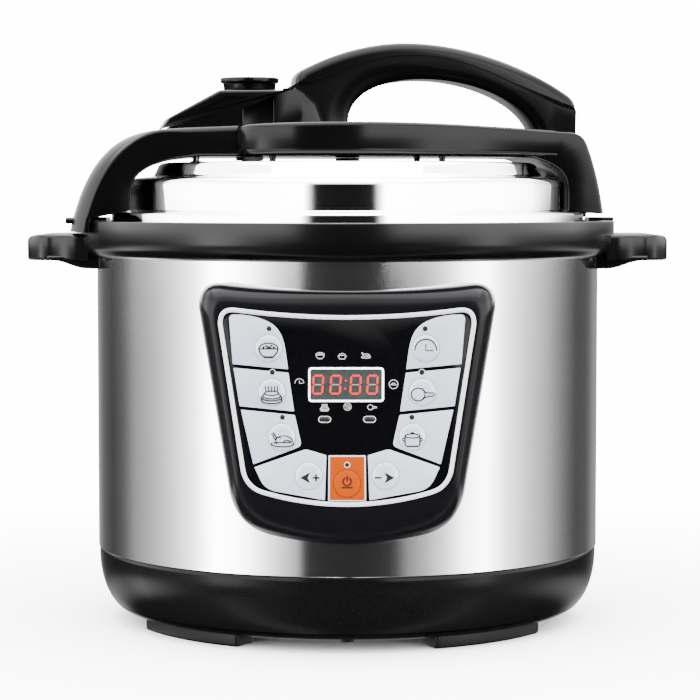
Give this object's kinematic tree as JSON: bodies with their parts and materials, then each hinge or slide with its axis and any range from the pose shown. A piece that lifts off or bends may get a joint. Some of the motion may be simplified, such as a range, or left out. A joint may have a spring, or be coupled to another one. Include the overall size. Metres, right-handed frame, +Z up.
{
  "type": "electric pressure cooker",
  "caption": "Electric pressure cooker: steel body, black collar and base, lift-off bayonet lid with beam, grip and steam valve, front key panel.",
  "frame": {"origin": "centre of the body's round plan on the surface it stands on", "axes": "+X to the right seen from the front, through the side handles; front with the control panel faces -Y; +Z up"},
  "size_m": [0.367, 0.3276, 0.3324],
  "materials": {
    "shell_steel": "satin",
    "polished_steel": "polished",
    "gloss_black": "gloss",
    "satin_black": "satin",
    "beam_black": "satin",
    "foot_black": "matt",
    "chamber_steel": "satin",
    "pot_steel": "satin",
    "shield_steel": "galvanised",
    "cast_aluminium": "cast",
    "element_steel": "oxidised",
    "spring_steel": "drawn wire",
    "screw_steel": "zinc plated",
    "component_black": "matt",
    "fuse_white": "ceramic",
    "board_green": "solder mask",
    "component_mix": "mixed",
    "trim_silver": "bright",
    "overlay_black": "gloss",
    "window_dark": "gloss",
    "field_silver": "metallic film",
    "field_orange": "satin",
    "key_silver": "satin",
    "key_orange": "satin",
    "lamp_lens": "translucent",
    "pin_brass": "plated",
    "cup_clear": "clear",
    "seal_silicone": "matt",
    "float_red": "gloss",
    "valve_steel": "turned"
  },
  "bodies": {
    "housing": {"outer_shell": "shell_steel", "base_housing": "gloss_black", "bottom_cover": "satin_black", "foot_1": "foot_black", "foot_2": "foot_black", "foot_3": "foot_black", "foot_4": "foot_black", "collar": "satin_black", "side_handle_left": "satin_black", "side_handle_right": "satin_black", "cooking_chamber": "chamber_steel", "heat_shield": "shield_steel", "heating_plate": "cast_aluminium", "heating_element": "element_steel", "sensor_spring": "spring_steel", "pressure_switch": "component_black", "thermal_fuse": "fuse_white", "power_board": "board_green", "board_components": "component_mix", "control_board": "board_green", "display_module": "component_black", "panel_bezel": "gloss_black", "panel_trim_ring": "trim_silver", "panel_overlay": "overlay_black", "display_window": "window_dark", "key_fields": "field_silver", "cancel_field": "field_orange", "lamp_lenses": "lamp_lens", "power_inlet": "component_black", "inlet_pins": "pin_brass", "cup_bracket": "satin_black", "base_screws": "screw_steel", "handle_screws": "screw_steel"},
    "sensor": {"temperature_sensor": "cast_aluminium"},
    "pot": {"inner_pot": "pot_steel"},
    "seal": {"sealing_ring": "seal_silicone", "inner_lid_plate": "polished_steel"},
    "lid": {"lid_dome": "polished_steel", "lid_nut": "component_black", "lid_beam": "beam_black", "beam_screws": "screw_steel", "valve_housing": "beam_black", "grip_body": "beam_black", "grip_cover": "beam_black", "stand_pin": "component_black", "steam_pipe": "valve_steel", "float_seal": "seal_silicone"},
    "weight": {"valve_weight": "valve_steel"},
    "cap": {"valve_cap": "beam_black"},
    "float": {"float_valve": "float_red"},
    "cup": {"condensate_cup": "cup_clear"},
    "button_1": {"key_1": "key_silver"},
    "button_2": {"key_2": "key_silver"},
    "button_3": {"key_3": "key_silver"},
    "button_4": {"key_4": "key_silver"},
    "button_5": {"key_5": "key_silver"},
    "button_6": {"key_6": "key_silver"},
    "button_7": {"key_7": "key_silver"},
    "button_8": {"key_8": "key_orange"},
    "button_9": {"key_9": "key_silver"}
  },
  "joints": [
    {"name": "pot_lift", "type": "slide", "parent": "housing", "child": "pot", "axis": [0, 0, 1], "range_m": [0, 0.2]},
    {"name": "lid_lift", "type": "slide", "parent": "pot", "child": "seal", "axis": [0, 0, 1], "range_m": [0, 0.12]},
    {"name": "lid_turn", "type": "hinge", "parent": "seal", "child": "lid", "pos_m": [0, 0, 0.23], "axis": [0, 0, -1], "range_deg": [0, 18]},
    {"name": "valve_lift", "type": "slide", "parent": "lid", "child": "weight", "axis": [0, 0, 1], "range_m": [0, 0.02]},
    {"name": "valve_turn", "type": "hinge", "parent": "weight", "child": "cap", "pos_m": [-0.05648, -0.00693, 0.3], "axis": [0, 0, 1], "range_deg": [0, 40]},
    {"name": "float_lift", "type": "slide", "parent": "lid", "child": "float", "axis": [0, 0, 1], "range_m": [0, 0.0035]},
    {"name": "sensor_press", "type": "slide", "parent": "housing", "child": "sensor", "axis": [0, 0, 1], "range_m": [-0.003, 0], "stiffness_N_per_m": 400, "springref_m": 0.002, "deforming": ["sensor_spring"]},
    {"name": "cup_pull", "type": "slide", "parent": "housing", "child": "cup", "axis": [0, 1, 0], "range_m": [0, 0.03]},
    {"name": "key_1_press", "type": "slide", "parent": "housing", "child": "button_1", "axis": [0, 0.9956, -0.0941], "range_m": [0, 0.0008], "stiffness_N_per_m": 300, "springref_m": -0.001},
    {"name": "key_2_press", "type": "slide", "parent": "housing", "child": "button_2", "axis": [0, 0.9956, -0.0941], "range_m": [0, 0.0008], "stiffness_N_per_m": 300, "springref_m": -0.001},
    {"name": "key_3_press", "type": "slide", "parent": "housing", "child": "button_3", "axis": [0, 0.9956, -0.0941], "range_m": [0, 0.0008], "stiffness_N_per_m": 300, "springref_m": -0.001},
    {"name": "key_4_press", "type": "slide", "parent": "housing", "child": "button_4", "axis": [0, 0.9956, -0.0941], "range_m": [0, 0.0008], "stiffness_N_per_m": 300, "springref_m": -0.001},
    {"name": "key_5_press", "type": "slide", "parent": "housing", "child": "button_5", "axis": [0, 0.9956, -0.0941], "range_m": [0, 0.0008], "stiffness_N_per_m": 300, "springref_m": -0.001},
    {"name": "key_6_press", "type": "slide", "parent": "housing", "child": "button_6", "axis": [0, 0.9956, -0.0941], "range_m": [0, 0.0008], "stiffness_N_per_m": 300, "springref_m": -0.001},
    {"name": "key_7_press", "type": "slide", "parent": "housing", "child": "button_7", "axis": [0, 0.9956, -0.0941], "range_m": [0, 0.0008], "stiffness_N_per_m": 300, "springref_m": -0.001},
    {"name": "key_8_press", "type": "slide", "parent": "housing", "child": "button_8", "axis": [0, 0.9956, -0.0941], "range_m": [0, 0.0008], "stiffness_N_per_m": 300, "springref_m": -0.001},
    {"name": "key_9_press", "type": "slide", "parent": "housing", "child": "button_9", "axis": [0, 0.9956, -0.0941], "range_m": [0, 0.0008], "stiffness_N_per_m": 300, "springref_m": -0.001}
  ]
}
